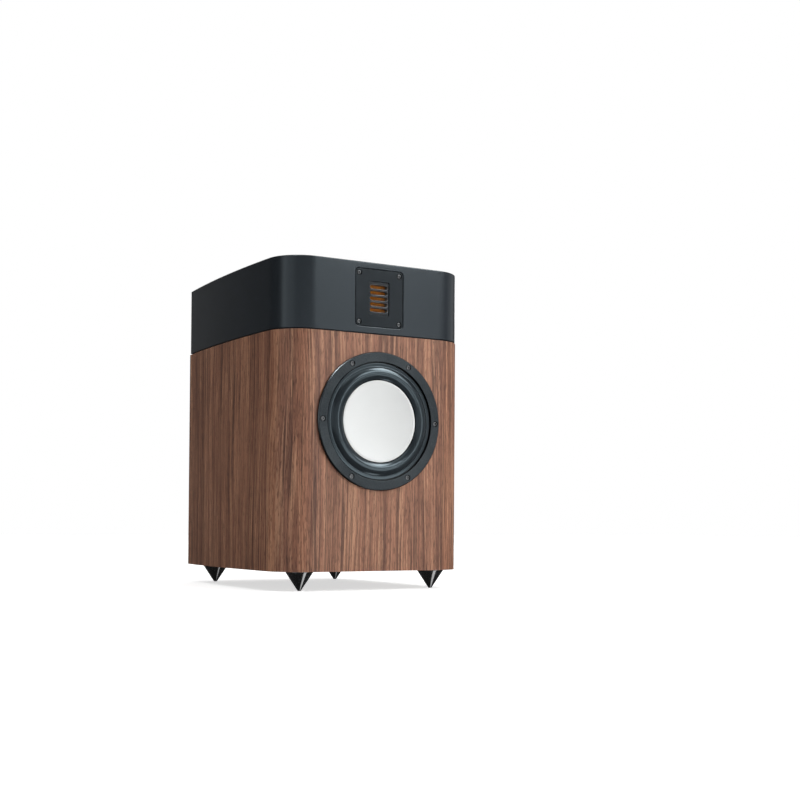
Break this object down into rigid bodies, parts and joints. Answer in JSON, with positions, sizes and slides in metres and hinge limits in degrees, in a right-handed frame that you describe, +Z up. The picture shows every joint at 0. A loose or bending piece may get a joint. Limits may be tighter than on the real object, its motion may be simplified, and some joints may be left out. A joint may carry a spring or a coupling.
{
  "type": "bookshelf speaker",
  "caption": "Two-way bookshelf loudspeaker: bowed walnut bass cabinet with a white-coned woofer, black head with a folded-diaphragm tweeter, rear reflex port and cone spikes.",
  "frame": {"origin": "on the floor under the middle of the overall box, with the spikes screwed fully in", "axes": "+Z up, front baffle facing -Y, +X to the right seen from the front"},
  "size_m": [0.279, 0.3678, 0.425],
  "materials": {
    "walnut": "walnut veneer, straight upright grain, satin lacquer",
    "mdf": "raw fibreboard",
    "black_lacquer": "satin black lacquer on fibreboard",
    "beech": "turned beech",
    "foam": "open-cell foam",
    "rubber": "matt black rubber",
    "surround_rubber": "satin slate-grey rubber",
    "brass": "plain brass",
    "zinc": "bright zinc",
    "black_screw": "black oxide",
    "spike_black": "gloss black nickel",
    "cast_black": "fine-textured black coating",
    "ring_black": "fine-textured charcoal coating",
    "plate_black": "satin black anodised",
    "pole_silver": "nickel-plated steel",
    "film": "amber polyimide film with aluminium tracks",
    "board_green": "printed board",
    "magnet": "ferrite",
    "rare_earth": "nickel-plated neodymium",
    "black_plastic": "moulded black plastic",
    "cone_white": "satin white",
    "spider_cloth": "resin-dipped cotton",
    "copper": "copper",
    "former": "thin aluminium",
    "gold": "gold plating",
    "capacitor": "film capacitor",
    "ceramic": "cement resistor",
    "lead_black": "insulated stranded lead"
  },
  "bodies": {
    "cabinet": {"cabinet_wrap": "mdf", "walnut_veneer": "walnut", "rear_panel": "walnut", "bottom_panel": "mdf", "bass_top_panel": "mdf", "ring_brace": "mdf", "damping_foam": "foam", "head_shell": "black_lacquer", "head_base": "mdf", "isolation_gasket": "rubber", "joining_bolts": "zinc", "joining_inserts": "brass", "locating_dowels": "beech", "cable_grommet": "rubber", "spike_inserts": "brass", "tweeter_faceplate": "plate_black", "tweeter_front_pole": "pole_silver", "tweeter_diaphragm": "film", "diaphragm_frame": "board_green", "tweeter_magnets": "rare_earth", "tweeter_rear_pole": "pole_silver", "tweeter_back_cup": "black_plastic", "tweeter_gasket": "rubber", "tweeter_screws": "black_screw", "woofer_trim_ring": "ring_black", "woofer_basket": "cast_black", "woofer_gasket": "rubber", "woofer_screws": "black_screw", "woofer_top_plate": "zinc", "woofer_magnet": "magnet", "woofer_yoke": "zinc", "copper_sleeve": "copper", "magnet_boot": "rubber", "woofer_surround": "surround_rubber", "woofer_spider": "spider_cloth", "tinsel_leads": "copper", "driver_tabs": "gold", "port_flare": "black_plastic", "port_tube": "black_plastic", "terminal_plate": "black_plastic", "terminal_screws": "black_screw", "post_shafts": "gold", "post_collars": "black_plastic", "post_nuts": "gold", "crossover_board": "board_green", "crossover_coils": "copper", "crossover_capacitors": "capacitor", "crossover_resistors": "ceramic", "hookup_leads": "lead_black"},
    "cone": {"woofer_cone": "cone_white", "coil_former": "former", "voice_coil": "copper"},
    "post_cap_left": {"post_cap_left": "gold", "post_washer_left": "gold"},
    "post_cap_right": {"post_cap_right": "gold", "post_washer_right": "gold"},
    "spike_front_left": {"spike_front_left": "spike_black"},
    "spike_front_right": {"spike_front_right": "spike_black"},
    "spike_rear_left": {"spike_rear_left": "spike_black"},
    "spike_rear_right": {"spike_rear_right": "spike_black"}
  },
  "joints": [
    {"name": "cone_travel", "type": "slide", "parent": "cabinet", "child": "cone", "axis": [0, -1, 0], "range_m": [-0.006, 0.006], "stiffness_N_per_m": 900, "deforming": ["woofer_surround", "woofer_spider", "tinsel_leads"]},
    {"name": "spike_front_left_levelling", "type": "slide", "parent": "cabinet", "child": "spike_front_left", "axis": [0, 0, -1], "range_m": [0, 0.008]},
    {"name": "spike_front_right_levelling", "type": "slide", "parent": "cabinet", "child": "spike_front_right", "axis": [0, 0, -1], "range_m": [0, 0.008]},
    {"name": "spike_rear_left_levelling", "type": "slide", "parent": "cabinet", "child": "spike_rear_left", "axis": [0, 0, -1], "range_m": [0, 0.008]},
    {"name": "spike_rear_right_levelling", "type": "slide", "parent": "cabinet", "child": "spike_rear_right", "axis": [0, 0, -1], "range_m": [0, 0.008]},
    {"name": "post_left_unscrew", "type": "slide", "parent": "cabinet", "child": "post_cap_left", "axis": [0, 1, 0], "range_m": [0, 0.005]},
    {"name": "post_right_unscrew", "type": "slide", "parent": "cabinet", "child": "post_cap_right", "axis": [0, 1, 0], "range_m": [0, 0.005]}
  ]
}
